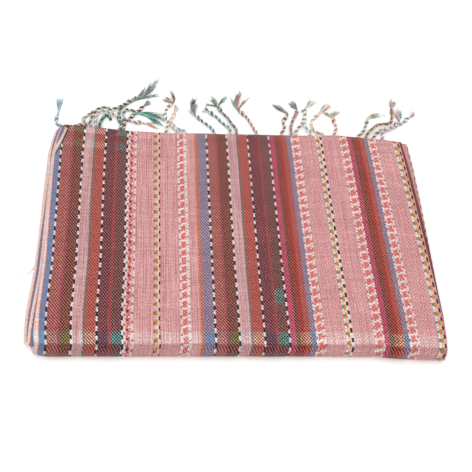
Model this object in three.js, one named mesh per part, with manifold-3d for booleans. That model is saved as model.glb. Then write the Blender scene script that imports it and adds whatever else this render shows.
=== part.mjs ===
// A long striped carrying cloth with a twisted fringe, folded flat. Millimetres, +Z up.
// The cloth is folded in half along its length, which makes a pair of plies joined at the left.
// The pair is folded in half across and then wound into three, so six pairs lie in one stack.
// The origin is on the underside, below the middle of the stack, and the front edge is toward -Y.
import * as THREE from 'three';
import Module from 'manifold-3d';
import { mergeVertices } from 'three/addons/utils/BufferGeometryUtils.js';

const wasm = await Module();
wasm.setup();

// Sizes of the cloth and of the stack
const sheetThickness = 1.0;
const plyPitch = 1.4;
const pairPitch = 2 * plyPitch;
const halfSheet = sheetThickness / 2;
const halfPly = plyPitch / 2;
const stackDepth = 280;
const front = -stackDepth / 2;
const back = stackDepth / 2;

// Folds of the pair, measured at its middle line
const innerWrapRadius = 1.8;
const outerWrapRadius = innerWrapRadius + pairPitch;
const innerBackRadius = pairPitch / 2;
const outerBackRadius = innerBackRadius + pairPitch;
const halfFoldRadius = pairPitch / 2;
const pairReach = halfPly + halfSheet;
const wrapLine = front + outerWrapRadius + pairReach;
const backLine = back - outerBackRadius - pairReach;
const insideSetBack = 10;
const halfFoldLine = front + insideSetBack;
const hemLine = back - insideSetBack;
const cornerTuckLength = 36;

// Places of the mesh lines across the sheet and along each level run, as shares of it, and
// the number of steps round the long fold and round each corner of a cross fold
const stepsAcross = [0, 0.05, 0.13, 0.22, 0.32, 0.42, 0.52, 0.62, 0.72, 0.82, 0.92, 1];
const stepsAlong = [0, 0.1, 0.3, 0.55, 0.78, 0.91, 1];
const foldSteps = 4;
const cornerSteps = 3;

// Fringe
const hemGap = 0.3;
const hemWidth = 5.7;
const hemThickness = sheetThickness + plyPitch;
const rootClearance = 0.2;
const rootHeight = hemThickness - 2 * rootClearance;
const rootInset = 1.5;
const leavingReach = 1;
const cordWidth = 4;
const cordHeight = 3.4;
const knotWidth = 7;
const knotHeight = 5.4;
const tasselWidth = 6.4;
const tasselHeight = 2.8;
const tipWidth = 2.6;
const tipHeight = 1.4;
const cordTopShare = 0.55;
const cordSteps = 12;
const cordDrop = 16;

// Shares of a cord's length: half the knot, where the frayed end opens, and where it thins
const knotReach = 0.09;
const frayStart = 0.04;
const frayEnd = 0.12;
const thinStart = 0.2;

// Side edges of each pair in the stack, level 1 at the bottom, before the stack leans to the left.
// leftCorner is where the fold ends at the back corner. The over and under columns are the free
// edges of the pair's outer and inner ply at the right.
const pairEdges = [
  { level: 1, leftFront: -204, leftMiddle: -208, leftBack: -209, leftCorner: -209,
    overFront: 201, overBack: 205, underFront: 201, underBack: 205 },
  { level: 2, leftFront: -205, leftMiddle: -209, leftBack: -210, leftCorner: -209,
    overFront: 201, overBack: 206, underFront: 201, underBack: 206 },
  { level: 3, leftFront: -216, leftMiddle: -213.5, leftBack: -211, leftCorner: -194,
    overFront: 200, overBack: 207, underFront: 199, underBack: 209 },
  { level: 4, leftFront: -214, leftMiddle: -212, leftBack: -209, leftCorner: -197,
    overFront: 200, overBack: 206, underFront: 200, underBack: 207 },
  { level: 5, leftFront: -203.5, leftMiddle: -208, leftBack: -206.5, leftCorner: -199,
    overFront: 201, overBack: 207, underFront: 202, underBack: 206 },
  { level: 6, leftFront: -202, leftMiddle: -202.5, leftBack: -202, leftCorner: -184,
    overFront: 203.5, overBack: 207, underFront: 202, underBack: 215 },
];

// Front and back edges of the stack, as distances from the straight edges at places across it
const edgeShape = [
  { x: -216, frontShift: 4, backShift: 14 },
  { x: -190, frontShift: 0, backShift: 14 },
  { x: -168, frontShift: 0, backShift: 12 },
  { x: -140, frontShift: 0, backShift: 8.4 },
  { x: -113, frontShift: 0, backShift: 4.4 },
  { x: -72, frontShift: 0, backShift: 0.4 },
  { x: 20, frontShift: 0, backShift: -0.6 },
  { x: 90, frontShift: 0, backShift: -3 },
  { x: 134, frontShift: -0.5, backShift: -2.6 },
  { x: 160, frontShift: -3, backShift: -5.6 },
  { x: 186, frontShift: -4, backShift: -9.6 },
  { x: 215, frontShift: -5, backShift: -14 },
];

// The stripes lean to the left toward the back, more so at the right side
const leanAtMiddle = -0.05324;
const leanPerX = -1.307e-4;
const leanPerXSquared = -2.7246e-7;

// What remains of the stripes' sideways sway, at distances from the front edge
const stripeSway = [
  { y: 0, left: -0.3, middle: 0.3, right: 1.5 },
  { y: 30, left: 0, middle: 0.4, right: 1 },
  { y: 60, left: 0, middle: 0, right: 0 },
  { y: 95, left: 2, middle: -0.2, right: 0.5 },
  { y: 150, left: 2, middle: -0.6, right: 0.7 },
  { y: 210, left: 2, middle: -1.2, right: -0.5 },
  { y: 280, left: 2, middle: -1.5, right: -2 },
];
const swaySide = 190;

// Shares of the stack's depth over which the free edges go from their front to their back place
const overSettled = 0.6;
const underStart = 0.1;

// Gentle unevenness of the stack's thickness
const puffShare = 0.035;
const puffLengthX = 38;
const puffLengthY = 47;
const puffPhase = 1;

// Cords that show behind the back edge. hemX is the root's place along the hem; the rest are
// places on the ground. The hem at the cloth's one end lies on the ground, the other just above.
const fringeCords = [
  { hem: 'lower', hemX: -197, kneeX: -211, kneeY: 162, knotX: -214, knotY: 176, tipX: -213, tipY: 211 },
  { hem: 'upper', hemX: -175, kneeX: -184, kneeY: 164, knotX: -183, knotY: 173, tipX: -175, tipY: 184 },
  { hem: 'lower', hemX: -159, kneeX: -168, kneeY: 178, knotX: -131, knotY: 200, tipX: -98, tipY: 231 },
  { hem: 'upper', hemX: -145, kneeX: -152, kneeY: 172, knotX: -125, knotY: 189, tipX: -106, tipY: 205 },
  { hem: 'lower', hemX: -130, kneeX: -137, kneeY: 164, knotX: -120, knotY: 177, tipX: -94, tipY: 180 },
  { hem: 'upper', hemX: -113, kneeX: -120, kneeY: 158, knotX: -109, knotY: 166, tipX: -92, tipY: 163 },
  { hem: 'lower', hemX: -77, kneeX: -84, kneeY: 166, knotX: -88, knotY: 200, tipX: -88, tipY: 219 },
  { hem: 'upper', hemX: -61, kneeX: -76, kneeY: 164, knotX: -77, knotY: 180, tipX: -74, tipY: 196 },
  { hem: 'lower', hemX: -46, kneeX: -62, kneeY: 154, knotX: -67, knotY: 164, tipX: -68, tipY: 173 },
  { hem: 'upper', hemX: -9, kneeX: -35, kneeY: 160, knotX: -50, knotY: 174, tipX: -54, tipY: 211 },
  { hem: 'lower', hemX: 8, kneeX: -20, kneeY: 166, knotX: -36, knotY: 188, tipX: -37, tipY: 205 },
  { hem: 'upper', hemX: 18, kneeX: -8, kneeY: 166, knotX: -27, knotY: 195, tipX: -20, tipY: 211 },
  { hem: 'lower', hemX: 45, kneeX: 14, kneeY: 166, knotX: 1, knotY: 184, tipX: 2, tipY: 219 },
  { hem: 'upper', hemX: 66, kneeX: 52, kneeY: 162, knotX: 54, knotY: 174, tipX: 39, tipY: 197 },
  { hem: 'lower', hemX: 77, kneeX: 61, kneeY: 163, knotX: 67, knotY: 184, tipX: 61, tipY: 199 },
  { hem: 'upper', hemX: 86, kneeX: 70, kneeY: 161, knotX: 79, knotY: 186, tipX: 92, tipY: 205 },
  { hem: 'lower', hemX: 102, kneeX: 80, kneeY: 153, knotX: 77.5, knotY: 160, tipX: 77, tipY: 168 },
  { hem: 'upper', hemX: 116, kneeX: 86, kneeY: 161, knotX: 93, knotY: 178, tipX: 108, tipY: 199 },
  { hem: 'lower', hemX: 131, kneeX: 112, kneeY: 158, knotX: 110, knotY: 171, tipX: 111, tipY: 186 },
  { hem: 'upper', hemX: 157, kneeX: 146, kneeY: 158, knotX: 148, knotY: 168, tipX: 165, tipY: 179 },
  { hem: 'lower', hemX: 170, kneeX: 168, kneeY: 160, knotX: 180, knotY: 188, tipX: 184, tipY: 203 },
  { hem: 'upper', hemX: 184, kneeX: 173, kneeY: 152, knotX: 189, knotY: 170, tipX: 191, tipY: 192 },
  { hem: 'lower', hemX: 198, kneeX: 184, kneeY: 151, knotX: 199, knotY: 169, tipX: 208, tipY: 184 },
];

// Finishes
const clothColour = 0xc98c8a;
const cordColour = 0xb9bdb2;

function smoothStep(from, to, value) {
  const share = THREE.MathUtils.clamp((value - from) / (to - from), 0, 1);
  return share * share * (3 - 2 * share);
}

// The value of one column of a table, between the rows on both sides of a place
function tableValue(rows, key, column, place) {
  const next = rows.findIndex((row) => row[key] >= place);
  if (next === 0) return rows[0][column];
  if (next < 0) return rows[rows.length - 1][column];
  const before = rows[next - 1];
  const after = rows[next];
  return THREE.MathUtils.lerp(
    before[column], after[column], (place - before[key]) / (after[key] - before[key]));
}

function pairHeight(level) {
  return halfSheet + plyPitch * (2 * (level - 1) + 0.5);
}

// How far the stripes have moved sideways at a distance behind the front edge
function sideways(x, fromFront) {
  const lean = leanAtMiddle + leanPerX * x + leanPerXSquared * x * x;
  const side = THREE.MathUtils.clamp(x / swaySide, -1, 1);
  const middle = tableValue(stripeSway, 'y', 'middle', fromFront);
  const edge = tableValue(stripeSway, 'y', side < 0 ? 'left' : 'right', fromFront);
  return fromFront * lean + THREE.MathUtils.lerp(middle, edge, Math.abs(side));
}

// Moves a point of the straight stack to where it lies in the real, slightly crooked one
function settle(x, y, z) {
  const fromFront = y - front;
  const share = fromFront / stackDepth;
  const frontShift = tableValue(edgeShape, 'x', 'frontShift', x);
  const backShift = tableValue(edgeShape, 'x', 'backShift', x);
  const puff = 1 + puffShare * Math.sin(x / puffLengthX) * Math.sin(y / puffLengthY + puffPhase);
  return new THREE.Vector3(
    x + sideways(x, fromFront),
    y + THREE.MathUtils.lerp(frontShift, backShift, share),
    z * puff);
}

// The side edges of a pair at a place along the stack
function edgesAt(level, y) {
  const row = pairEdges[level - 1];
  const share = THREE.MathUtils.clamp((y - front) / stackDepth, 0, 1);
  const left = share < 0.5
    ? THREE.MathUtils.lerp(row.leftFront, row.leftMiddle, share * 2)
    : THREE.MathUtils.lerp(row.leftMiddle, row.leftBack, share * 2 - 1);
  const tuck = smoothStep(back - cornerTuckLength, back, y);
  return {
    left: THREE.MathUtils.lerp(left, row.leftCorner, tuck),
    over: THREE.MathUtils.lerp(row.overFront, row.overBack, smoothStep(0, overSettled, share)),
    under: THREE.MathUtils.lerp(row.underFront, row.underBack, smoothStep(underStart, 1, share)),
  };
}

function mixEdges(first, second, share) {
  return {
    left: THREE.MathUtils.lerp(first.left, second.left, share),
    over: THREE.MathUtils.lerp(first.over, second.over, share),
    under: THREE.MathUtils.lerp(first.under, second.under, share),
  };
}

// Rows of the pair's middle line along a level run, facing up or down
function addRun(rows, level, fromY, toY, facing) {
  for (const share of stepsAlong) {
    const y = THREE.MathUtils.lerp(fromY, toY, share);
    rows.push({ y, z: pairHeight(level), outY: 0, outZ: facing, edges: edgesAt(level, y) });
  }
}

// Rows round a fold between two levels: two rounded corners, with a straight between tall ones.
// side is -1 at the front and 1 at the back; facing is 1 where the outer ply is outside the fold.
function addFold(rows, fromLevel, toLevel, y, side, radius, facing) {
  const start = pairHeight(fromLevel);
  const end = pairHeight(toLevel);
  const rise = Math.sign(end - start);
  const isRound = Math.abs(Math.abs(end - start) - 2 * radius) < 0.01;
  const last = 2 * cornerSteps;
  for (let step = 1; step < last; step += 1) {
    const angle = (Math.PI * step) / last;
    const share = step / last;
    const edges = mixEdges(edgesAt(fromLevel, y), edgesAt(toLevel, y), share);
    const outY = side * Math.sin(angle);
    const outZ = -rise * Math.cos(angle);
    const corners = step < cornerSteps ? [start + rise * radius] : [end - rise * radius];
    if (step === cornerSteps && !isRound) corners.unshift(start + rise * radius);
    for (const centre of corners) {
      rows.push({
        y: y + outY * radius,
        z: centre + outZ * radius,
        outY: outY * facing,
        outZ: outZ * facing,
        edges,
      });
    }
  }
}

// The middle line of the pair of plies, from one end of the cloth to the other
function pairRows() {
  const rows = [];
  addRun(rows, 1, hemLine, wrapLine, -1);
  addFold(rows, 1, 6, wrapLine, -1, outerWrapRadius, 1);
  addRun(rows, 6, wrapLine, backLine, 1);
  addFold(rows, 6, 3, backLine, 1, outerBackRadius, 1);
  addRun(rows, 3, backLine, halfFoldLine, -1);
  addFold(rows, 3, 4, halfFoldLine, -1, halfFoldRadius, 1);
  addRun(rows, 4, halfFoldLine, backLine, 1);
  addFold(rows, 4, 5, backLine, 1, innerBackRadius, -1);
  addRun(rows, 5, backLine, wrapLine, -1);
  addFold(rows, 5, 2, wrapLine, -1, innerWrapRadius, -1);
  addRun(rows, 2, wrapLine, hemLine, 1);
  return rows;
}

// Places across one row of the pair, from the outer ply's free edge round the left fold
// to the inner ply's free edge, at a distance from the sheet's middle
function acrossRow(edges, fromMiddle) {
  const places = [];
  const reach = halfPly + fromMiddle;
  const foldX = edges.left + pairReach;
  for (const share of stepsAcross) {
    places.push([THREE.MathUtils.lerp(edges.over, foldX, share), reach]);
  }
  for (let step = 1; step < foldSteps; step += 1) {
    const angle = (Math.PI * step) / foldSteps;
    places.push([foldX - reach * Math.sin(angle), reach * Math.cos(angle)]);
  }
  for (const share of [...stepsAcross].reverse()) {
    places.push([THREE.MathUtils.lerp(edges.under, foldX, share), -reach]);
  }
  return places;
}

function clothGeometry() {
  const positions = [];
  const faces = [];
  const rows = pairRows();
  let ringLength = 0;
  for (const row of rows) {
    const outside = acrossRow(row.edges, halfSheet);
    const inside = acrossRow(row.edges, -halfSheet).reverse();
    const ring = [...outside, ...inside];
    ringLength = ring.length;
    for (const [x, out] of ring) {
      const point = settle(x, row.y + out * row.outY, row.z + out * row.outZ);
      positions.push(point.x, point.y, point.z);
    }
  }
  for (let row = 0; row < rows.length - 1; row += 1) {
    for (let step = 0; step < ringLength; step += 1) {
      const next = (step + 1) % ringLength;
      const here = row * ringLength;
      const there = here + ringLength;
      faces.push(here + step, there + next, here + next);
      faces.push(here + step, there + step, there + next);
    }
  }
  const lastRing = (rows.length - 1) * ringLength;
  for (let step = 0; step < ringLength / 2 - 1; step += 1) {
    const opposite = ringLength - 1 - step;
    faces.push(step, opposite - 1, opposite);
    faces.push(step, step + 1, opposite - 1);
    faces.push(lastRing + step, lastRing + opposite, lastRing + opposite - 1);
    faces.push(lastRing + step, lastRing + opposite - 1, lastRing + step + 1);
  }
  const geometry = new THREE.BufferGeometry();
  geometry.setAttribute('position', new THREE.Float32BufferAttribute(positions, 3));
  geometry.setIndex(faces);
  return geometry;
}

// The narrow strip at the cloth's end that the cords come out of
function hemGeometry(level) {
  const edges = edgesAt(level, hemLine);
  const foldX = edges.left + pairReach;
  const hem = new THREE.BoxGeometry(1, hemWidth, hemThickness, stepsAcross.length - 1, 1, 1);
  hem.translate(0.5, hemLine + hemGap + hemWidth / 2, pairHeight(level));
  hem.deleteAttribute('normal');
  hem.deleteAttribute('uv');
  const place = hem.getAttribute('position');
  for (let i = 0; i < place.count; i += 1) {
    const column = Math.round((1 - place.getX(i)) * (stepsAcross.length - 1));
    const x = THREE.MathUtils.lerp(edges.over, foldX, stepsAcross[column]);
    const point = settle(x, place.getY(i), place.getZ(i));
    place.setXYZ(i, point.x, point.y, point.z);
  }
  return mergeVertices(hem);
}

// Width and height of a cord at a share of its length, with its knot and frayed end. It is
// as thin as the hem at its root, and has its full height once it is clear of the hem.
function cordSize(share, knotShare, clearOfHem) {
  const knot = Math.max(0, 1 - Math.abs(share - knotShare) / knotReach);
  const frayed = smoothStep(knotShare + frayStart, knotShare + frayEnd, share);
  const thinning = smoothStep(knotShare + thinStart, 1, share);
  const tailWidth = THREE.MathUtils.lerp(tasselWidth, tipWidth, thinning);
  const tailHeight = THREE.MathUtils.lerp(tasselHeight, tipHeight, thinning);
  const width = THREE.MathUtils.lerp(cordWidth, tailWidth, frayed);
  const height = THREE.MathUtils.lerp(
    THREE.MathUtils.lerp(rootHeight, cordHeight, clearOfHem), tailHeight, frayed);
  return {
    width: THREE.MathUtils.lerp(width, knotWidth, knot),
    height: THREE.MathUtils.lerp(height, knotHeight, knot),
  };
}

// One cord: a four-sided strand that leaves the hem, comes down to the ground and lies flat on it
function cordGeometry(cord) {
  const level = cord.hem === 'lower' ? 1 : 2;
  const hemBottom = pairHeight(level) - hemThickness / 2;
  const root = settle(cord.hemX, hemLine + hemGap + rootInset, 0);
  const leaving = settle(cord.hemX, hemLine + hemGap + hemWidth + leavingReach, 0);
  const path = new THREE.CatmullRomCurve3([
    root,
    leaving,
    new THREE.Vector3(cord.kneeX, cord.kneeY, 0),
    new THREE.Vector3(cord.knotX, cord.knotY, 0),
    new THREE.Vector3(cord.tipX, cord.tipY, 0),
  ], false, 'centripetal');
  const middles = path.getSpacedPoints(cordSteps);
  const knotPlace = new THREE.Vector3(cord.knotX, cord.knotY, 0);
  const fromKnot = middles.map((middle) => middle.distanceTo(knotPlace));
  const knotShare = fromKnot.indexOf(Math.min(...fromKnot)) / cordSteps;
  const positions = [];
  const faces = [];
  for (let step = 0; step <= cordSteps; step += 1) {
    const share = step / cordSteps;
    const middle = middles[step];
    const along = middles[Math.min(step + 1, cordSteps)].clone().sub(middles[Math.max(step - 1, 0)]);
    const side = new THREE.Vector3(along.y, -along.x, 0).normalize();
    const clearOfHem = smoothStep(hemWidth, hemWidth + cordDrop, middle.distanceTo(root));
    const size = cordSize(share, knotShare, clearOfHem);
    const bottom = hemBottom * (1 - clearOfHem);
    const corners = [
      [-size.width / 2, 0], [size.width / 2, 0],
      [size.width / 2 * cordTopShare, size.height], [-size.width / 2 * cordTopShare, size.height],
    ];
    for (const [across, up] of corners) {
      positions.push(middle.x + side.x * across, middle.y + side.y * across, bottom + up);
    }
  }
  for (let step = 0; step < cordSteps; step += 1) {
    for (let corner = 0; corner < 4; corner += 1) {
      const next = (corner + 1) % 4;
      const here = step * 4;
      const there = here + 4;
      faces.push(here + corner, there + next, here + next);
      faces.push(here + corner, there + corner, there + next);
    }
  }
  const end = cordSteps * 4;
  faces.push(0, 1, 2, 0, 2, 3);
  faces.push(end, end + 2, end + 1, end, end + 3, end + 2);
  const geometry = new THREE.BufferGeometry();
  geometry.setAttribute('position', new THREE.Float32BufferAttribute(positions, 3));
  geometry.setIndex(faces);
  return geometry;
}

function toSolid(geometry) {
  return new wasm.Manifold(new wasm.Mesh({
    numProp: 3,
    vertProperties: new Float32Array(geometry.getAttribute('position').array),
    triVerts: new Uint32Array(geometry.getIndex().array),
  }));
}

function toGeometry(solid) {
  const mesh = solid.getMesh();
  const geometry = new THREE.BufferGeometry();
  geometry.setAttribute('position', new THREE.BufferAttribute(mesh.vertProperties, 3));
  geometry.setIndex(new THREE.BufferAttribute(mesh.triVerts, 1));
  return geometry;
}

function fringeGeometry(hem, level) {
  let fringe = toSolid(hemGeometry(level));
  for (const cord of fringeCords.filter((row) => row.hem === hem)) {
    fringe = fringe.add(toSolid(cordGeometry(cord)));
  }
  return toGeometry(fringe);
}

function addPart(group, name, geometry, colour, roughness) {
  const material = new THREE.MeshStandardMaterial({ color: colour, roughness, metalness: 0 });
  const mesh = new THREE.Mesh(geometry, material);
  mesh.name = name;
  group.add(mesh);
}

const foldedCloth = new THREE.Group();
addPart(foldedCloth, 'cloth', clothGeometry(), clothColour, 0.9);
addPart(foldedCloth, 'fringe_lower', fringeGeometry('lower', 1), cordColour, 0.85);
addPart(foldedCloth, 'fringe_upper', fringeGeometry('upper', 2), cordColour, 0.85);

export default foldedCloth;
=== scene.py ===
import math
import random

import bmesh
import bpy
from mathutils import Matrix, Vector


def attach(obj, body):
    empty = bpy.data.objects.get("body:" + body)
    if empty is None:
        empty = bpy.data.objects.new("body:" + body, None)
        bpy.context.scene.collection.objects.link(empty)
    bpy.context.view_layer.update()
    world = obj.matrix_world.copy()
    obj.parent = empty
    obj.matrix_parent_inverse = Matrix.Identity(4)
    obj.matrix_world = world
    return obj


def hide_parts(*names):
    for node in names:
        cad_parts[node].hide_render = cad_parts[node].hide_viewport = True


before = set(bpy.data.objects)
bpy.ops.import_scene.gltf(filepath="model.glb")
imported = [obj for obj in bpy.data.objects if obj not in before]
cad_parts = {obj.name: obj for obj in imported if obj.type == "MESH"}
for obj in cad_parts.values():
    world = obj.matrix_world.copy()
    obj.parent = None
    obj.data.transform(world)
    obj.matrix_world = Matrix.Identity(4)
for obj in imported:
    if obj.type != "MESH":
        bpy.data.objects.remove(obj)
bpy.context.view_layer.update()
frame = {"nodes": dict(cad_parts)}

mm = 0.001
scene = bpy.context.scene
print("frame loaded:", ", ".join(frame["nodes"]))


# Camera, floor and light

stageSettings = {
    "cameraPlace": (-0.0039, -0.5948, 0.8929),
    "lookDown": 56,              # degrees below the horizon
    "lens": 76.1,
    "sensor": 36,
    "floorSize": 6,
    "floorColour": "fbfaf8",
    "skyStrength": 1.14,
    "keyPower": 9,
    "keySize": 2.0,
    "keyPlace": (0.15, 0.35, 1.9),
    "fillPower": 12,
    "fillPlace": (-0.2, -1.6, 0.55),
}


def linear(code):
    # a colour code as linear light
    channels = [int(code[i:i + 2], 16) / 255 for i in (0, 2, 4)]
    return [c / 12.92 if c <= 0.04045 else ((c + 0.055) / 1.055) ** 2.4 for c in channels] + [1]


def makeCamera(s):
    data = bpy.data.cameras.new("photoCamera")
    data.lens = s["lens"]
    data.sensor_width = s["sensor"]
    camera = bpy.data.objects.new("photoCamera", data)
    camera.location = s["cameraPlace"]
    camera.rotation_euler = (math.radians(90 - s["lookDown"]), 0, 0)
    scene.collection.objects.link(camera)
    scene.camera = camera


def makeLight(name, place, size, power):
    data = bpy.data.lights.new(name, "AREA")
    data.size = size
    data.energy = power
    light = bpy.data.objects.new(name, data)
    light.location = place
    light.rotation_euler = (-Vector(place)).to_track_quat("-Z", "Y").to_euler()
    scene.collection.objects.link(light)


def makeStage(s):
    bm = bmesh.new()
    bmesh.ops.create_grid(bm, x_segments=1, y_segments=1, size=s["floorSize"] / 2)
    floor = meshObject("floor", bm)
    material = bpy.data.materials.new("paleFloor")
    material.use_nodes = True
    shader = material.node_tree.nodes["Principled BSDF"]
    shader.inputs["Base Color"].default_value = linear(s["floorColour"])
    shader.inputs["Roughness"].default_value = 0.9
    shader.inputs["Specular IOR Level"].default_value = 0.1
    floor.data.materials.append(material)
    world = bpy.data.worlds.new("studio")
    world.use_nodes = True
    sky = world.node_tree.nodes["Background"]
    sky.inputs["Color"].default_value = (1, 1, 1, 1)
    sky.inputs["Strength"].default_value = s["skyStrength"]
    scene.world = world
    makeLight("key", s["keyPlace"], s["keySize"], s["keyPower"])
    makeLight("fill", s["fillPlace"], s["keySize"], s["fillPower"])
    scene.view_settings.view_transform = "Standard"


def meshObject(name, bm):
    mesh = bpy.data.meshes.new(name)
    bm.to_mesh(mesh)
    bm.free()
    piece = bpy.data.objects.new(name, mesh)
    scene.collection.objects.link(piece)
    return piece


makeCamera(stageSettings)
makeStage(stageSettings)
print("camera, floor and light made")


# Small helpers

def mix(a, b, share):
    return a + (b - a) * share


def smoothStep(low, high, value):
    share = min(1, max(0, (value - low) / (high - low)))
    return share * share * (3 - 2 * share)


def between(rows, place, column):
    # the value of a column at a place; the first column holds the places
    if place <= rows[0][0]:
        return rows[0][column]
    for before, after in zip(rows, rows[1:]):
        if place <= after[0]:
            return mix(before[column], after[column], (place - before[0]) / (after[0] - before[0]))
    return rows[-1][column]


# The folded cloth, in millimetres until its mesh is finished

cloth = {
    "sheet": 1.0,
    "thickness": 0.85,           # what the woven sheet itself takes of its place
    "plyPitch": 1.4,
    "depth": 280,
    "setBack": 10,               # how far the inner folds and the hems lie from the stack's edges
    "innerWrap": 1.8,
    "innerBack": 1.4,
    "halfFold": 1.4,
    "columnsOver": 132,          # mesh columns of the outer and the inner half of the cloth
    "columnsUnder": 26,
    "columnsFold": 8,
    "rowsTop": 92,               # mesh rows of the top layer and of each other layer
    "rowsOther": 12,
    "rowsCorner": 6,
    "stripeStart": -200.5,       # where the middle of the cloth lies in the top layer
    "halfWidth": 430,            # what half of the stripe map stands for
    "edgeStripe": 421.8,         # where the map holds the edge of the hidden half
    "length": 1665,              # what the stripe map's height stands for
    "puffShare": 0.035,          # how uneven the stack's height is, and the lengths of its waves
    "puffLengths": (38, 47),
    "columnCrowding": 0.4,       # how closely mesh columns and rows crowd toward the edges
    "rowCrowding": 0.5,
    "cornerTurn": (234, 238),    # where the top layer's corner turns under, from the front
    "troughLine": -118,          # trough and ridge behind the front roll
    "ridgeLine": -128,
}
halfSheet = cloth["sheet"] / 2
halfPly = cloth["plyPitch"] / 2
pairPitch = 2 * cloth["plyPitch"]
pairReach = halfPly + halfSheet
front = -cloth["depth"] / 2
back = cloth["depth"] / 2
outerWrap = cloth["innerWrap"] + pairPitch
outerBack = cloth["innerBack"] + pairPitch
wrapLine = front + outerWrap + pairReach
backLine = back - outerBack - pairReach
halfFoldLine = front + cloth["setBack"]
hemLine = back - cloth["setBack"]

# distance from the front, then the left edge of each double layer, from the lowest to the top one
leftEdges = [
    (0, -205, -206, -213.2, -210.6, -201.8, -201.4),
    (20, -208, -209, -213.2, -208.6, -201.8, -202.2),
    (45, -209, -210, -212.4, -206.4, -201, -200.6),
    (80, -209, -209.6, -210.6, -204.2, -200.5, -199),
    (125, -208.5, -209, -208.8, -203.3, -200.6, -199.4),
    (180, -206.5, -207, -207.6, -202.6, -200.8, -199.6),
    (226, -206, -206.5, -206, -201.8, -200.2, -197.6),
    (235, -205.6, -206, -206.6, -201.7, -199.8, -197.2),
    (251, -204, -204.6, -205.6, -200.4, -198.6, -191.2),
    (270, -200.6, -201.2, -202.6, -197, -194.4, -186),
    (284, -194, -196, -198.8, -193.4, -190.8, -182.5),
]
# how far the stripes of the third, fourth and fifth layer slip over their folds
stripeSlips = [
    (0, -0.9, -0.7, 0), (45, -0.6, -0.6, 0), (80, -0.6, -0.4, 0), (125, -1.6, -0.8, 0),
    (180, 0, 0, 0), (235, 0, 0, 0), (251, -1.2, 0, 7), (284, -1.2, 0, 9.2),
]

# right edge of each layer's outer ply at front, middle and back, then of its inner ply
rightEdges = [
    (200, 204, 203, 200, 204, 203),
    (200, 204, 204, 200, 204, 204),
    (199, 204, 205, 199, 204, 206),
    (199, 204, 204, 199, 204, 205),
    (200, 204, 203, 201, 204, 203),
    (202.8, 206.8, 206.2, 201.8, 207.9, 213.4),
]

# place across, shift of the front edge, shift of the back edge
edgeShape = [
    (-216, 4, 14), (-190, 0, 14), (-168, 0, 12), (-140, 0, 8.4), (-113, 0, 4.4), (-72, 0, 0.4),
    (20, 0, -0.6), (90, 0, -3), (134, -0.5, -2.6), (160, -3, -5.6), (186, -4, -9.6), (215, -5, -14),
]

# distance from the front, then how far the stripes swing sideways at the left, middle and right
stripeSwings = [
    (0, -1.3, 0, 1), (20, -3.4, 0, 3.5), (45, -4.2, 0, 4.5), (100, -1.8, -0.6, 4.5),
    (190, -2, -1, 4.5), (240, -1.9, -1, 3.7), (280, -0.6, -1.4, 2),
]
swingPlaces = (-185, -10, 200)   # the places across that these stand for
swingBend = 5                    # how closely the right swing keeps to its edge
backLean = (-10.6, -14.9, -25.3)  # how far the stripes end to the left: at left, middle and right
leanPlace = 200


def swingAt(x, fromFront):
    left, middle, right = [between(stripeSwings, fromFront, column) for column in (1, 2, 3)]
    leftEnd, centre, rightEnd = swingPlaces
    if x < centre:
        return mix(middle, left, min(1, (centre - x) / (centre - leftEnd)))
    return mix(middle, right, min(1, (x - centre) / (rightEnd - centre)) ** swingBend)


def leanAt(x, fromFront):
    # a curve through the three values
    left, middle, right = backLean
    side = x / leanPlace
    whole = middle + (right - left) / 2 * side + ((left + right) / 2 - middle) * side * side
    return whole * fromFront / cloth["depth"]


def pairHeight(level):
    return halfSheet + cloth["plyPitch"] * (2 * (level - 1) + 0.5)


def settle(x, y, z):
    # from the straight stack to the real, slightly crooked one
    fromFront = y - front
    shift = mix(between(edgeShape, x, 1), between(edgeShape, x, 2), fromFront / cloth["depth"])
    acrossWave, alongWave = cloth["puffLengths"]
    puff = 1 + cloth["puffShare"] * math.sin(x / acrossWave) * math.sin(y / alongWave + 1)
    sideways = leanAt(x, fromFront) + swingAt(x, fromFront)
    return Vector((x + sideways, y + shift, z * puff))


def edgesAt(level, y):
    # left edge, right edges of the outer and the inner ply, where the stripes start, and
    # how far the top layer's corner is turned under
    fromFront = y - front
    share = min(1, max(0, fromFront / cloth["depth"]))

    def along(first, middle, last):
        return mix(first, middle, share * 2) if share < 0.5 else mix(middle, last, share * 2 - 1)

    row = rightEdges[level - 1]
    left = between(leftEdges, fromFront, level)
    start, turned = left + 0.2, 0
    if 3 <= level <= 5:
        start += between(stripeSlips, fromFront, level - 2)
    if level == 6:
        # its stripes run on under the fold
        start = cloth["stripeStart"]
        turned = smoothStep(*cloth["cornerTurn"], fromFront)
    return [left, along(*row[0:3]), along(*row[3:6]), start, turned]


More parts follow.
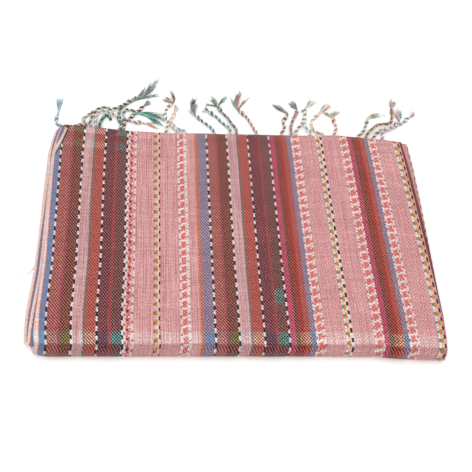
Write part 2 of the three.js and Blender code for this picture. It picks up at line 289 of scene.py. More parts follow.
def foldedRows():
    # middle line of the doubled cloth: y, z, outward direction, edges, top-layer share
    rows = []

    def run(level, fromY, toY, facing):
        steps = cloth["rowsTop"] if level == 6 else cloth["rowsOther"]
        for i in range(steps + 1):
            share = i / steps
            share = mix(share, smoothStep(0, 1, share), cloth["rowCrowding"])
            y = mix(fromY, toY, share)
            rows.append((y, pairHeight(level), 0, facing, edgesAt(level, y), float(level == 6)))

    def fold(fromLevel, toLevel, y, side, radius, facing):
        start, end = pairHeight(fromLevel), pairHeight(toLevel)
        rise = 1 if end > start else -1
        last = 2 * cloth["rowsCorner"]
        for step in range(1, last):
            angle = math.pi * step / last
            low, high = edgesAt(fromLevel, y), edgesAt(toLevel, y)
            edges = [mix(a, b, step / last) for a, b in zip(low, high)]
            outY, outZ = side * math.sin(angle), -rise * math.cos(angle)
            corners = [start + rise * radius] if step < cloth["rowsCorner"] else [end - rise * radius]
            if step == cloth["rowsCorner"] and abs(end - start) - 2 * radius > 0.01:
                corners.insert(0, start + rise * radius)
            for centre in corners:
                top = step / last if toLevel == 6 else 1 - step / last if fromLevel == 6 else 0
                rows.append((y + outY * radius, centre + outZ * radius, outY * facing,
                             outZ * facing, edges, top))

    run(1, hemLine, wrapLine, -1)
    fold(1, 6, wrapLine, -1, outerWrap, 1)
    run(6, wrapLine, backLine, 1)
    fold(6, 3, backLine, 1, outerBack, 1)
    run(3, backLine, halfFoldLine, -1)
    fold(3, 4, halfFoldLine, -1, cloth["halfFold"], 1)
    run(4, halfFoldLine, backLine, 1)
    fold(4, 5, backLine, 1, cloth["innerBack"], -1)
    run(5, backLine, wrapLine, -1)
    fold(5, 2, wrapLine, -1, cloth["innerWrap"], -1)
    run(2, wrapLine, hemLine, 1)
    return rows


def acrossPlaces(edges):
    # x, distance out from the pair's middle line, place in the stripes and shade of the crease,
    # from right edge to right edge
    left, over, under, start, turned = edges
    foldX = left + pairReach
    foldStripe = foldX - start
    places = []
    count = cloth["columnsOver"]
    for i in range(count + 1):
        share = i / count
        x = mix(over, foldX, mix(share, smoothStep(0, 1, share), cloth["columnCrowding"]))
        # at the fold the columns carry painted shadow where the top layer's corner is turned under
        places.append((x, halfPly, x - start, turned if i == count else 0))
    count = cloth["columnsFold"]
    for i in range(1, count):
        angle = math.pi * i / count
        places.append((foldX - halfPly * math.sin(angle), halfPly * math.cos(angle),
                       mix(foldStripe, -foldStripe, i / count), turned))
    count = cloth["columnsUnder"]
    for i in range(count + 1):
        share = i / count
        x = mix(foldX, under, mix(share, smoothStep(0, 1, share), cloth["columnCrowding"]))
        fromEdge = cloth["edgeStripe"] - (under - x)
        places.append((x, -halfPly, -mix(x - start, fromEdge, smoothStep(0.3, 0.7, share)), 0))
    return places


def topUnevenness(x, y):
    # soft troughs and ridges, in millimetres
    height = 0.35 * math.sin(x / 23 + 1.3 * math.sin(y / 61)) * math.sin(y / 37 + 0.6)
    height += 0.22 * math.sin(x / 9.5 + y / 31) * math.sin(y / 17 + x / 71)
    height -= 0.5 * math.exp(-((y - cloth["troughLine"] - 0.02 * x) / 4) ** 2)
    height += 0.4 * math.exp(-((y - cloth["ridgeLine"]) / 5) ** 2)
    return height


def makeCloth(s):
    rows = foldedRows()
    columns = len(acrossPlaces(rows[0][4]))
    bm = bmesh.new()
    bmesh.ops.create_grid(bm, x_segments=columns - 1, y_segments=len(rows) - 1, size=1)
    stripeMap = bm.loops.layers.uv.new("stripeMap")
    creaseShade = bm.verts.layers.float.new("creaseShade")
    along = [0]
    for before, after in zip(rows, rows[1:]):
        along.append(along[-1] + math.hypot(after[0] - before[0], after[1] - before[1]))
    print("cloth length along its folds: %.1f mm" % along[-1])
    across = [acrossPlaces(row[4]) for row in rows]
    flat = {}
    for vertex in bm.verts:
        column = round((vertex.co.x + 1) / 2 * (columns - 1))
        row = round((vertex.co.y + 1) / 2 * (len(rows) - 1))
        y, z, outY, outZ, edges, top = rows[row]
        x, out, stripe, vertex[creaseShade] = across[row][column]
        flat[vertex.index] = (0.5 + stripe / s["halfWidth"] / 2, along[row] / s["length"])
        lift = topUnevenness(x, y) * top if out > 0 else 0
        vertex.co = settle(x, y + (out + lift) * outY, z + (out + lift) * outZ) * mm
    for face in bm.faces:
        for loop in face.loops:
            loop[stripeMap].uv = flat[loop.vert.index]
        face.smooth = True
    piece = meshObject("woven_cloth", bm)
    solidify = piece.modifiers.new("sheet", "SOLIDIFY")
    solidify.thickness = s["thickness"] * mm
    solidify.offset = 0
    return piece


# Yarns and the order of the stripes

# name: colour of the warp, of the weft's dots, and of the dots where the weft is pale
yarns = {
    "pink": ("ba6264", "e2b3b1", "f2dedc"),
    "pale": ("efe6e3", "e4bcb5", "f0e8e5"),
    "orange": ("c66038", "d27c4e", "dca468"),
    "blue": ("5384b6", "8e8096", "64b4dc"),
    "slate": ("666c94", "aa868a", "6ca0c0"),
    "dusty": ("8c4843", "b66e66", "c8968e"),
    "wine": ("8c2e44", "ae5c60", "b0608e"),
    "olive": ("4a2820", "98564a", "888850"),
    "lilac": ("ae6e74", "dab0ae", "f0dedc"),
    "sage": ("625f58", "8a766e", "66ac9c"),
    "rust": ("9e3e34", "b8645a", "dcb49c"),
    "plum": ("422230", "924e52", "6c5068"),
    "red": ("8a3234", "aa5250", "b0686a"),
    "teal": ("38383a", "8e5652", "54a49c"),
    "brick": ("8a2a24", "ae463c", "d09884"),
    "rose": ("a62c48", "c45c72", "d0749a"),
    "coral": ("d0655f", "dc7f79", "e6a29a"),
    "blush": ("d8a3a0", "e8bebb", "f0dedc"),
    "white": ("ebe4e1", "d8c0bc", "f2ece9"),
    "black": ("262120", "362e2c", "3a3230"),
    "purple": ("482040", "643650", "754462"),
    "amber": ("cc821a", "d6963a", "dca04c"),
    "green": ("222e28", "384440", "4c5a4e"),
    "aqua": ("3a857c", "6a9c94", "6cc4b8"),
    # brown stands for painted shadow in the gap under the top layer's right edge, not a woven yarn
    "brown": ("6c3226", "844a3c", "8a5248"),
}
dashLength = 10.4                # one repeat of the dashed lines, in millimetres

# start in millimetres from the middle of the cloth, yarn, yarn of the dashes, their start and share
stripes = [
    (0, "pale"), (2.7, "orange"), (3.7, "blue"), (8.9, "white", "black", 0.1, 0.58),
    (10.8, "dusty"), (21, "wine"), (23.6, "olive"), (33.9, "white", "black", 0.45, 0.58),
    (35.9, "lilac"), (46.2, "sage"), (48.4, "rust"), (59, "white", "black", 0.2, 0.58),
    (60.9, "plum"), (71, "red"), (74.2, "teal"), (84.3, "white", "black", 0.05, 0.58),
    (86.1, "white", "pink", 0.55, 0.36), (88.3, "blush", "coral", 0.0, 0.6),
    (89.4, "coral", "purple", 0.05, 0.3), (91.2, "coral", "pale", 0.4, 0.3),
    (92.6, "pink"), (93.8, "white", "pink", 0.9, 0.36), (95.7, "pink"),
    (116.1, "pink", "purple", 0.1, 0.4), (117.4, "blush", "amber", 0.05, 0.62),
    (120.1, "pale"), (120.9, "pink", "purple", 0.55, 0.5), (122.6, "pink"),
    (142.9, "white", "pink", 0.1, 0.36), (144.3, "blush"), (145, "coral", "pale", 0.0, 0.3),
    (147.4, "coral", "pale", 0.12, 0.26), (149.4, "blush"),
    (150.3, "white", "pink", 0.62, 0.2), (152.9, "pink"),
    (163, "orange"), (165.5, "slate"),
    (175.8, "white", "black", 0.3, 0.58), (177.7, "dusty"), (187, "wine"), (189.2, "olive"),
    (199.6, "white", "black", 0.75, 0.58), (201.5, "lilac"), (211.9, "sage"), (213.5, "rust"),
    (224.2, "white", "black", 0.5, 0.58), (226.1, "plum"), (236.6, "red"), (239.2, "teal"),
    (249, "white", "black", 0.15, 0.58), (251, "rose"), (256.6, "olive"), (260.6, "brick"),
    (265.4, "rust"), (271.2, "slate"), (276.4, "white", "pink", 0.3, 0.36), (277.9, "blush"),
    (278.7, "coral", "pale", 0.0, 0.26), (280.7, "coral", "pale", 0.12, 0.3),
    (282.5, "blush", "coral", 0.5, 0.3), (284.3, "white", "pink", 0.62, 0.36), (285.8, "pink"),
    (306.1, "white", "aqua", 0.1, 0.4), (307.7, "blush", "amber", 0.0, 0.62),
    (310.2, "pale"), (310.7, "white", "green", 0.48, 0.54), (313, "pink"),
    (333.8, "white", "pink", 0.2, 0.36), (335.3, "blush"), (336, "coral", "pale", 0.9, 0.26),
    (338.2, "coral", "pale", 0.02, 0.3), (340.4, "blush", "coral", 0.5, 0.3),
    (341.9, "white", "pink", 0.75, 0.36), (343.3, "rose"),
    (348.4, "olive"), (352.9, "brick"), (357.6, "rust"), (362.6, "slate"),
    (367.2, "white", "pink", 0.4, 0.36), (368.7, "blush"), (369.6, "coral", "pale", 0.1, 0.26),
    (371.6, "coral", "pale", 0.22, 0.3), (373.4, "blush", "coral", 0.5, 0.3),
    (374.9, "white", "pink", 0.9, 0.36), (376.5, "pink"),
    (395.3, "white", "aqua", 0.85, 0.4), (397.1, "blush", "amber", 0.75, 0.62),
    (399.7, "pale"), (400.1, "pink", "green", 0.23, 0.54), (402, "pink"),
    # the brown stripe is painted shadow of the gap under the top layer's right edge
    (403, "brown"), (409, "pink"), (419.8, "pale", "sage", 0.3, 0.5),
]
linedYarns = ("pink", "pale", "lilac", "blush")
wovenSettings = {
    "dye": 0.715,                # how deep the yarns' colours are under this light
    "ribAcross": 3.1,            # millimetres from rib to rib of the twill, across and along
    "ribAlong": 3.7,
    "twillContrast": 2.4,
    "looseness": 0.0003,
    "spot": (244, 57),           # middle of the one pale spot, across and along
    "topStart": 283.45,          # millimetres along the cloth to the front of the top layer
    # from there: where each band of pale weft, and the darker weft with the painted shade of the front roll,
    # begins, is full and ends
    "frontBand": (0, 2.5, 13, 17.5),
    "middleBand": (240, 244, 249, 254),
    "backBand": (262, 264, 268, 271),
    "darkWeftAndShade": (-22, -17, 1, 3.5),
    "linePitch": 2.6,            # from line to line in the pink fields
    "edgeJitter": 0.14,
    "stripeShift": 0.85,         # how far the middle stripe lies off the fold
    "dashSlant": 0.12,
    "rampStops": 14,
    "roughness": 0.85,
    "bump": 0.35,
    "bumpDepth": 0.5,            # millimetres
}


class Nodes:
    # short ways to add and join shader nodes
    def __init__(self, name):
        self.material = bpy.data.materials.new(name)
        self.material.use_nodes = True
        self.tree = self.material.node_tree
        self.shader = self.tree.nodes["Principled BSDF"]

    def add(self, kind, **values):
        node = self.tree.nodes.new(kind)
        for key, value in values.items():
            setattr(node, key, value)
        return node

    def join(self, source, target):
        if isinstance(source, (int, float)):
            target.default_value = source
        elif isinstance(source, (list, tuple)):
            target.default_value = source
        else:
            self.tree.links.new(source, target)

    def math(self, operation, first, second=0.0, third=0.0):
        node = self.add("ShaderNodeMath", operation=operation)
        for socket, value in zip(node.inputs, (first, second, third)):
            self.join(value, socket)
        return node.outputs[0]

    def blend(self, share, first, second, kind="MIX", clamps=True):
        node = self.add("ShaderNodeMix", data_type="RGBA", blend_type=kind)
        node.clamp_factor = clamps
        node.clamp_result = not clamps
        self.join(share, node.inputs[0])
        self.join(first, node.inputs[6])
        self.join(second, node.inputs[7])
        return node.outputs[2]

    def noise(self, place, scale, detail=2.0, rough=0.5):
        node = self.add("ShaderNodeTexNoise")
        self.join(place, node.inputs["Vector"])
        node.inputs["Scale"].default_value = scale
        node.inputs["Detail"].default_value = detail
        node.inputs["Roughness"].default_value = rough
        return node.outputs["Fac"]

    def vector(self, x, y, z=0.0):
        node = self.add("ShaderNodeCombineXYZ")
        for socket, value in zip(node.inputs, (x, y, z)):
            self.join(value, socket)
        return node.outputs[0]

    def ramped(self, place, low, high, fromLow=0.0, fromHigh=1.0):
        node = self.add("ShaderNodeMapRange", interpolation_type="SMOOTHSTEP")
        for socket, value in zip(node.inputs, (place, low, high, fromLow, fromHigh)):
            self.join(value, socket)
        return node.outputs[0]

    def band(self, place, opens, opened, closes, closed):
        # one between the two middle places, and none outside the outer two
        rising = self.ramped(place, opens, opened)
        return self.math("MULTIPLY", rising, self.ramped(place, closes, closed, 1.0, 0.0))


def stripeRamps(nodes, place, colourOf):
    # a colour ramp has 256 steps, so each one takes only a few stripes, to keep their edges exact
    result = None
    size = wovenSettings["rampStops"]
    for first in range(0, len(stripes), size):
        rows = stripes[first:first + size]
        low = rows[0][0]
        high = stripes[first + size][0] if first + size < len(stripes) else cloth["halfWidth"]
        node = nodes.add("ShaderNodeValToRGB")
        node.color_ramp.interpolation = "CONSTANT"
        while len(node.color_ramp.elements) > 1:
            node.color_ramp.elements.remove(node.color_ramp.elements[0])
        node.color_ramp.elements[0].position = 0
        node.color_ramp.elements[0].color = colourOf(rows[0])
        for row in rows[1:]:
            stop = node.color_ramp.elements.new((row[0] - low) / (high - low))
            stop.color = colourOf(row)
        here = nodes.math("DIVIDE", nodes.math("SUBTRACT", place, low), high - low)
        nodes.join(here, node.inputs[0])
        if result is None:
            result = node.outputs[0]
        else:
            result = nodes.blend(nodes.math("GREATER_THAN", place, low), result, node.outputs[0])
    return result


def makeWovenMaterial(s):
    nodes = Nodes("stripedWeave")
    uvMap = nodes.add("ShaderNodeUVMap", uv_map="stripeMap")
    split = nodes.add("ShaderNodeSeparateXYZ")
    nodes.join(uvMap.outputs[0], split.inputs[0])
    fromMiddle = nodes.math("MULTIPLY", nodes.math("ABSOLUTE", nodes.math("SUBTRACT", split.outputs[0], 0.5)),
                            2 * cloth["halfWidth"])
    along = nodes.math("MULTIPLY", split.outputs[1], cloth["length"])
    weave = nodes.vector(fromMiddle, along)

    # threads wander a little, so the stripes' edges do too
    wander = nodes.noise(nodes.vector(nodes.math("MULTIPLY", fromMiddle, 0.5), along), 0.55, 2.0)
    place = nodes.math("MULTIPLY_ADD", nodes.math("SUBTRACT", wander, 0.5), 4 * s["edgeJitter"],
                       nodes.math("SUBTRACT", fromMiddle, s["stripeShift"]))

    def dashData(row):
        lined = 1.0 if row[1] in linedYarns else 0.0
        return (row[3], row[4], lined, 1) if len(row) > 2 else (0, 0, lined, 1)

    warp = stripeRamps(nodes, place, lambda row: linear(yarns[row[1]][0]))
    dots = stripeRamps(nodes, place, lambda row: linear(yarns[row[1]][1]))
    paleDots = stripeRamps(nodes, place, lambda row: linear(yarns[row[1]][2]))
    dash = stripeRamps(nodes, place, lambda row: linear(yarns[row[2 if len(row) > 2 else 1]][0]))
    data = nodes.add("ShaderNodeSeparateColor")
    nodes.join(stripeRamps(nodes, place, dashData), data.inputs[0])

    # dashes: warp floats of a few picks
    unsteady = nodes.noise(nodes.vector(nodes.math("MULTIPLY", fromMiddle, 0.3),
                                        nodes.math("MULTIPLY", along, 0.12)), 0.7, 1.0)
    slanted = nodes.math("MULTIPLY_ADD", fromMiddle, s["dashSlant"], along)
    slanted = nodes.math("MULTIPLY_ADD", unsteady, 4.0, slanted)
    repeat = nodes.math("SUBTRACT", nodes.math("DIVIDE", slanted, dashLength), data.outputs[0])
    repeat = nodes.math("FRACT", repeat)
    softness = 0.07
    opens = nodes.ramped(repeat, 0.0, softness)
    closes = nodes.ramped(nodes.math("SUBTRACT", repeat, data.outputs[1]), -softness, 0.0, 1.0, 0.0)
    isDash = nodes.math("MULTIPLY", opens, closes)

    # twill: ribs one way, with fainter ones the other way, stronger in some patches
    ribX = nodes.math("DIVIDE", fromMiddle, s["ribAcross"])
    # the picks lie a little looser toward the back
    fromFold = nodes.math("SUBTRACT", along, s["topStart"])
    loosened = nodes.math("MULTIPLY_ADD", nodes.math("MULTIPLY", fromFold, fromFold), -s["looseness"], along)
    ribY = nodes.math("DIVIDE", loosened, s["ribAlong"])
    oneWay = nodes.math("SINE", nodes.math("MULTIPLY", nodes.math("ADD", ribX, ribY), 2 * math.pi))
    otherWay = nodes.math("SINE", nodes.math("MULTIPLY", nodes.math("SUBTRACT", ribX, ribY), 2 * math.pi))
    patches = nodes.ramped(nodes.noise(weave, 0.05, 2.0), 0.35, 0.65, 0.2, 1.0)
    twillWave = nodes.math("MULTIPLY_ADD", nodes.math("SUBTRACT", 1.1, patches), otherWay, oneWay)
    fine = nodes.noise(weave, 0.75, 2.0, 0.8)
    offMiddle = nodes.math("SUBTRACT", fine, 0.5)
    twill = nodes.ramped(nodes.math("MULTIPLY_ADD", offMiddle, 5.0, twillWave), -1.2, 1.2)
    twill = nodes.math("MULTIPLY_ADD", nodes.math("SUBTRACT", twill, 0.5), s["twillContrast"], 0.5)

    # uneven warp lines and small flecks in the pink fields
    lineNoise = nodes.noise(nodes.vector(fromMiddle, nodes.math("MULTIPLY", along, 0.03)), 0.42, 3.0, 0.7)
    lineWave = nodes.math("SINE", nodes.math("MULTIPLY", fromMiddle, 2 * math.pi / s["linePitch"]))
    lines = nodes.math("MULTIPLY_ADD", nodes.math("SUBTRACT", lineNoise, 0.5), 7.0,
                       nodes.math("MULTIPLY", lineWave, 0.6))
    lines = nodes.ramped(nodes.math("MULTIPLY_ADD", offMiddle, 3.5, lines), -2.2, 1.6)
    ribs = nodes.ramped(nodes.math("MULTIPLY_ADD", offMiddle, 7.0, otherWay), -1.5, 1.4)
    atRight = nodes.ramped(fromMiddle, 270.0, 300.0, 0.2, 0.5)
    lines = nodes.math("MULTIPLY_ADD", nodes.math("SUBTRACT", ribs, lines), atRight, lines)
    isLined = data.outputs[2]
    dotShare = nodes.math("ADD", nodes.math("MULTIPLY", lines, isLined),
                          nodes.math("MULTIPLY", twill, nodes.math("SUBTRACT", 1.0, isLined)))

    # pale weft near the folds and in one place of its own, and faint changes from pick to pick
    frontBand = nodes.band(fromFold, *s["frontBand"])
    backBand = nodes.band(fromFold, *s["backBand"])
    middleBand = nodes.band(fromFold, *s["middleBand"])
    atLeft = nodes.ramped(fromMiddle, 60.0, 130.0, 1.0, 0.12)
    backBand = nodes.math("MULTIPLY", backBand, atLeft)
    middleBand = nodes.math("MULTIPLY", nodes.math("MULTIPLY", middleBand, 0.6), atLeft)
    paleWeft = nodes.math("MAXIMUM", frontBand, nodes.math("MAXIMUM", backBand, middleBand))
    spotX = nodes.math("ABSOLUTE", nodes.math("SUBTRACT", fromMiddle, s["spot"][0]))
    spotY = nodes.math("ABSOLUTE", nodes.math("SUBTRACT", fromFold, s["spot"][1]))
    spot = nodes.math("MULTIPLY", nodes.ramped(spotX, 4.0, 5.5, 0.8, 0.0),
                      nodes.ramped(spotY, 6.0, 11.0, 1.0, 0.0))
    paleWeft = nodes.math("MAXIMUM", paleWeft, spot)
    paleWeft = nodes.math("MULTIPLY", paleWeft, nodes.ramped(fine, 0.3, 0.6, 0.55, 1.0))
    streak = nodes.noise(nodes.vector(nodes.math("MULTIPLY", fromMiddle, 0.012), along), 0.16, 4.0, 0.75)
    weftDots = nodes.blend(nodes.math("MULTIPLY", paleWeft, 0.8), dots, paleDots)
    colour = nodes.blend(dotShare, warp, weftDots, clamps=False)
    colour = nodes.blend(isDash, colour, dash)

    # unevenness of the dye, darker picks, and the darkening that goes round the front: partly a darker weft,
    # partly painted shade of the front roll
    tone = nodes.ramped(streak, 0.3, 0.7, 0.92, 1.06)
    patch = nodes.noise(weave, 0.018, 3.0, 0.6)
    tone = nodes.math("MULTIPLY", tone, nodes.ramped(patch, 0.3, 0.7, 0.95, 1.05))
    tone = nodes.math("MULTIPLY", tone, nodes.ramped(fine, 0.25, 0.75, 0.82, 1.18))
    slubs = nodes.noise(weave, 0.42, 1.0)
    tone = nodes.math("MULTIPLY", tone, nodes.ramped(slubs, 0.3, 0.7, 0.9, 1.1))
    picks = nodes.noise(nodes.vector(nodes.math("MULTIPLY", fromMiddle, 0.07), along), 0.5, 1.0)
    tone = nodes.math("MULTIPLY", tone, nodes.ramped(picks, 0.3, 0.7, 0.93, 1.07))
    # painted shade of the front roll, together with its darker weft
    frontWeftAndShade = nodes.band(fromFold, *s["darkWeftAndShade"])
    tone = nodes.math("MULTIPLY", tone, nodes.math("MULTIPLY_ADD", frontWeftAndShade, -0.2, s["dye"]))
    # painted shadow along the edge where the top layer's corner turns under
    crease = nodes.add("ShaderNodeAttribute", attribute_name="creaseShade")
    tone = nodes.math("MULTIPLY", tone, nodes.math("MULTIPLY_ADD", crease.outputs["Fac"], -0.85, 1.0))
    toned = nodes.blend(1.0, colour, nodes.vector(tone, tone, tone), "MULTIPLY")
    nodes.join(toned, nodes.shader.inputs["Base Color"])
    nodes.shader.inputs["Roughness"].default_value = s["roughness"]
    nodes.shader.inputs["Specular IOR Level"].default_value = 0.25
    nodes.shader.inputs["Sheen Weight"].default_value = 0.1
    nodes.shader.inputs["Sheen Roughness"].default_value = 0.5

    height = nodes.math("ADD", nodes.math("MULTIPLY", dotShare, 0.5), nodes.math("MULTIPLY", isDash, 0.6))
    height = nodes.math("MULTIPLY_ADD", fine, 0.8, height)
    height = nodes.math("MULTIPLY_ADD", nodes.noise(weave, 0.09, 3.0), 1.5, height)
    bump = nodes.add("ShaderNodeBump")
    bump.inputs["Strength"].default_value = s["bump"]
    bump.inputs["Distance"].default_value = s["bumpDepth"] * mm
    nodes.join(height, bump.inputs["Height"])
    nodes.join(bump.outputs[0], nodes.shader.inputs["Normal"])
    return nodes.material


wovenCloth = makeCloth(cloth)
wovenCloth.data.materials.append(makeWovenMaterial(wovenSettings))
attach(wovenCloth, "root")
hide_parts("cloth")
print("cloth made")


# The fringe: twisted cords of three strands, most with a knot and a frayed end

fringe = {
    "seed": 7,
    "strand": 0.88,              # radius of one strand, and of the circle that its middle runs on
    "twist": 0.86,
    "pitch": 6.9,
    "step": 0.8,
    "hemStep": 1.3,
    "hemRows": (1.7, 4.2),       # how far behind the end of the cloth its twined rows lie
    "knotBulge": 1.0,
    "knotLength": 2.4,
    "knotPitch": 4.2,
    "knotBack": 2,               # how far the knot's middle lies from the cord's end
    "waver": 0.5,
    "lowering": 13,              # a cord comes down to the floor over this length
    "yarn": 0.33,
    "hair": 0.13,
    "yarns": 26,
    "hairs": 14,
    "cordHairs": 16,             # short hairs that stand off each cord, and how far
    "hairReach": (3, 6.5),
    "fewYarns": 7,               # yarns of an end with only one or two reaches
    "yarnPoints": 9,
    "floorGap": 0.05,
    "mapLength": 100,            # millimetres along a yarn that its map's width stands for
}
cordYarns = {
    "cream": "f1eae0", "white": "f6f4f0", "grey": "b4b5af", "dark": "322f2e", "olive": "66623f",
    "teal": "2f9f98", "mint": "93d0c2", "sky": "5aa9d8", "orange": "dc9350", "tan": "b48a63",
    "pink": "d3788f", "red": "b1584f", "green": "6fbf97", "brown": "6f5045",
}

# hem, place along it, yarns of the strands, route behind the back edge, rise over other cords,
# yarns of the frayed end, and the places that it reaches
fringeCords = [
    ("lower", -197, ("sky", "olive", "cream"), ((-208, 161), (-212, 163), (-214, 169), (-214, 175)),
     0, ("sky", "sky", "mint", "cream"), ((-213, 211), (-212, 207), (-214, 205))),
    ("upper", -184, ("dark", "cream", "tan"), ((-193, 159), (-187, 163), (-179, 162.5),
      (-173, 157)), 0, (), ()),
    ("upper", -168, ("sky", "orange", "cream"), ((-174, 161), (-180, 166), (-182.5, 171), (-180, 176),
      (-175, 180)),
     0, ("tan", "brown"), ((-170, 185), (-172, 186))),
    ("lower", -159, ("dark", "olive", "cream"),
     ((-173, 162), (-173, 169), (-170, 178), (-165, 184.5), (-158, 187), (-150, 185), (-143, 189),
      (-135, 195), (-128, 199)),
     3.2, ("olive", "dark", "grey", "teal"), ((-112, 222), (-103, 234), (-92, 241), (-98, 222),
      (-88, 214))),
    ("upper", -152, ("sky", "orange", "white"),
     ((-167, 163), (-168, 174), (-163, 182), (-156, 181), (-148, 177.5), (-139, 174), (-129, 170),
      (-121, 166), (-116, 166)),
     2.6, ("cream", "orange", "cream"), ((-103, 164), (-94, 157), (-99, 165))),
    ("lower", -146, ("dark", "teal", "dark"), ((-162, 160), (-161, 170), (-157, 177), (-152, 175),
      (-151, 170)),
     0.6, (), ()),
    ("upper", -131, ("teal", "dark", "olive"),
     ((-138, 161), (-141, 171), (-142, 179), (-140, 186), (-134, 194), (-126, 202)),
     0.4, ("teal", "dark"), ((-118, 205), (-122, 208))),
    ("lower", -125, ("dark", "cream", "brown"),
     ((-134, 161), (-137, 170), (-137, 180), (-132, 186), (-124, 184), (-118, 184), (-114, 189)),
     0.2, ("tan", "brown", "tan", "sky"), ((-104, 201), (-108, 201), (-103, 197))),
    ("lower", -129, ("dark", "olive", "cream"), ((-137, 160), (-134, 165), (-132, 169), (-124, 177)),
     1.0, ("teal", "dark", "teal", "teal", "mint"), ((-86, 177), (-82, 170), (-83, 161), (-90, 161),
      (-94, 174))),
    ("upper", -78, ("dark", "white", "cream"), ((-85, 151), (-83, 163), (-87, 176), (-86, 187),
      (-80, 194)),
     2.4, ("dark", "grey", "dark", "orange"), ((-90, 205), (-88, 209), (-82, 219), (-93, 202),
      (-79, 210))),
    ("lower", -64, ("cream", "orange", "white"), ((-70, 150), (-77, 158), (-80, 167), (-77, 178)),
     0, ("cream", "white", "orange"), ((-74, 194), (-70, 190), (-76, 196))),
    ("upper", -55, ("sky", "white", "cream"), ((-63, 150), (-71, 156), (-77, 163)),
     2.0, ("cream", "white"), ((-82, 171), (-84, 167))),
    ("upper", -20, ("dark", "sky", "white"), ((-28, 148), (-35, 160), (-42, 167), (-50, 174)),
     0, ("olive", "dark", "sky", "cream", "tan"), ((-54, 211), (-52, 204), (-56, 206), (-62, 188),
      (-50, 196))),
    ("lower", -1, ("teal", "white", "dark"), ((-10, 149), (-13, 158), (-20, 166), (-27, 174), (-34, 181)),
     0, ("teal", "dark", "cream"), ((-42, 186), (-41, 191), (-45, 183))),
    ("upper", 6, ("brown", "dark", "grey"), ((-3, 149), (-6, 159), (-11, 168), (-17, 177), (-24, 187)),
     0.6, ("dark", "grey", "olive", "green"), ((-36, 205), (-33, 209), (-17, 206), (-14, 208),
      (-43, 195), (-29, 205))),
    ("lower", 30, ("brown", "pink", "cream"), ((21, 148), (16, 157), (13, 166), (9, 173), (2, 181)),
     0, ("pink", "pink", "brown", "tan", "green"), ((-4, 202), (2, 218), (-1, 214), (12, 207),
      (-11, 206))),
    ("upper", 61, ("dark", "white", "red"), ((49, 149), (52, 158), (51, 167), (55, 174)),
     0, ("red", "grey", "dark", "teal"), ((38, 198), (42, 195), (36, 197), (45, 192))),
    ("lower", 73, ("brown", "grey", "red"), ((60, 149), (60, 162), (64, 172), (67, 182)),
     0, ("brown", "dark", "red", "sky"), ((60, 199), (63, 201), (57, 196))),
    ("upper", 79, ("white", "cream", "dark"), ((65, 149), (69, 159), (75, 170), (77, 184)),
     0, ("white", "grey", "cream", "white"), ((92, 204), (86, 202), (95, 200), (90, 197))),
    ("lower", 95, ("white", "teal", "cream"), ((82, 149), (77, 157), (76, 167), (78, 178)),
     2.6, ("teal", "sky", "cream"), ((72, 186), (74, 188))),
    ("upper", 109, ("cream", "white", "orange"), ((96, 148), (89, 152), (84, 160), (85, 168), (91, 177)),
     0, ("white", "cream", "orange", "grey"), ((109, 199), (104, 201), (112, 195), (101, 194))),
    ("lower", 124, ("orange", "white", "red"), ((110, 148), (112, 158), (110, 170)),
     0, ("cream", "pink", "green", "orange"), ((98, 181), (101, 183), (113, 187), (119, 185),
      (108, 184))),
    ("upper", 150, ("teal", "white", "tan"), ((138, 146), (144, 154), (148, 163), (148, 168)),
     0, ("grey", "white", "teal", "orange"), ((164, 180), (158, 176), (172, 177), (161, 181))),
    ("lower", 161, ("olive", "orange", "brown"),
     ((147, 145), (153, 154), (162, 161), (172, 163), (178, 168), (179, 184)),
     2.2, ("orange", "pink", "sky", "cream"), ((184, 203), (180, 206), (187, 199), (182, 196))),
    ("upper", 167, ("white", "dark", "pink"), ((155, 143), (158, 149), (165, 155), (175, 157),
      (184, 165)),
     0, ("grey", "white", "teal", "pink"), ((188, 192), (185, 190), (192, 186), (182, 184))),
    ("lower", 178, ("pink", "teal", "white"), ((164, 141), (166, 151), (176, 156), (187, 163),
      (197, 171)),
     2.4, ("white", "cream", "pink"), ((207, 184), (203, 186), (208, 180))),
]


def smoothRoute(points, step):
    # one smooth line through the points, with a point at every step along it
    ends = [points[0] * 2 - points[1]] + points + [points[-1] * 2 - points[-2]]
    fine = []
    for a, b, c, d in zip(ends, ends[1:], ends[2:], ends[3:]):
        for i in range(12):
            u = i / 12
            fine.append(0.5 * (b * 2 + (c - a) * u + (a * 2 - b * 5 + c * 4 - d) * u * u
                               + (b * 3 - a - c * 3 + d) * u ** 3))
    fine.append(points[-1])
    reach = [0]
    for before, after in zip(fine, fine[1:]):
        reach.append(reach[-1] + (after - before).length)
    count = max(2, round(reach[-1] / step))
    route, here = [], 0
    for i in range(count + 1):
        place = reach[-1] * i / count
        while here < len(fine) - 2 and reach[here + 1] < place:
            here += 1
        share = (place - reach[here]) / max(1e-6, reach[here + 1] - reach[here])
        route.append(fine[here].lerp(fine[here + 1], min(1, share)))
    return route, reach[-1]


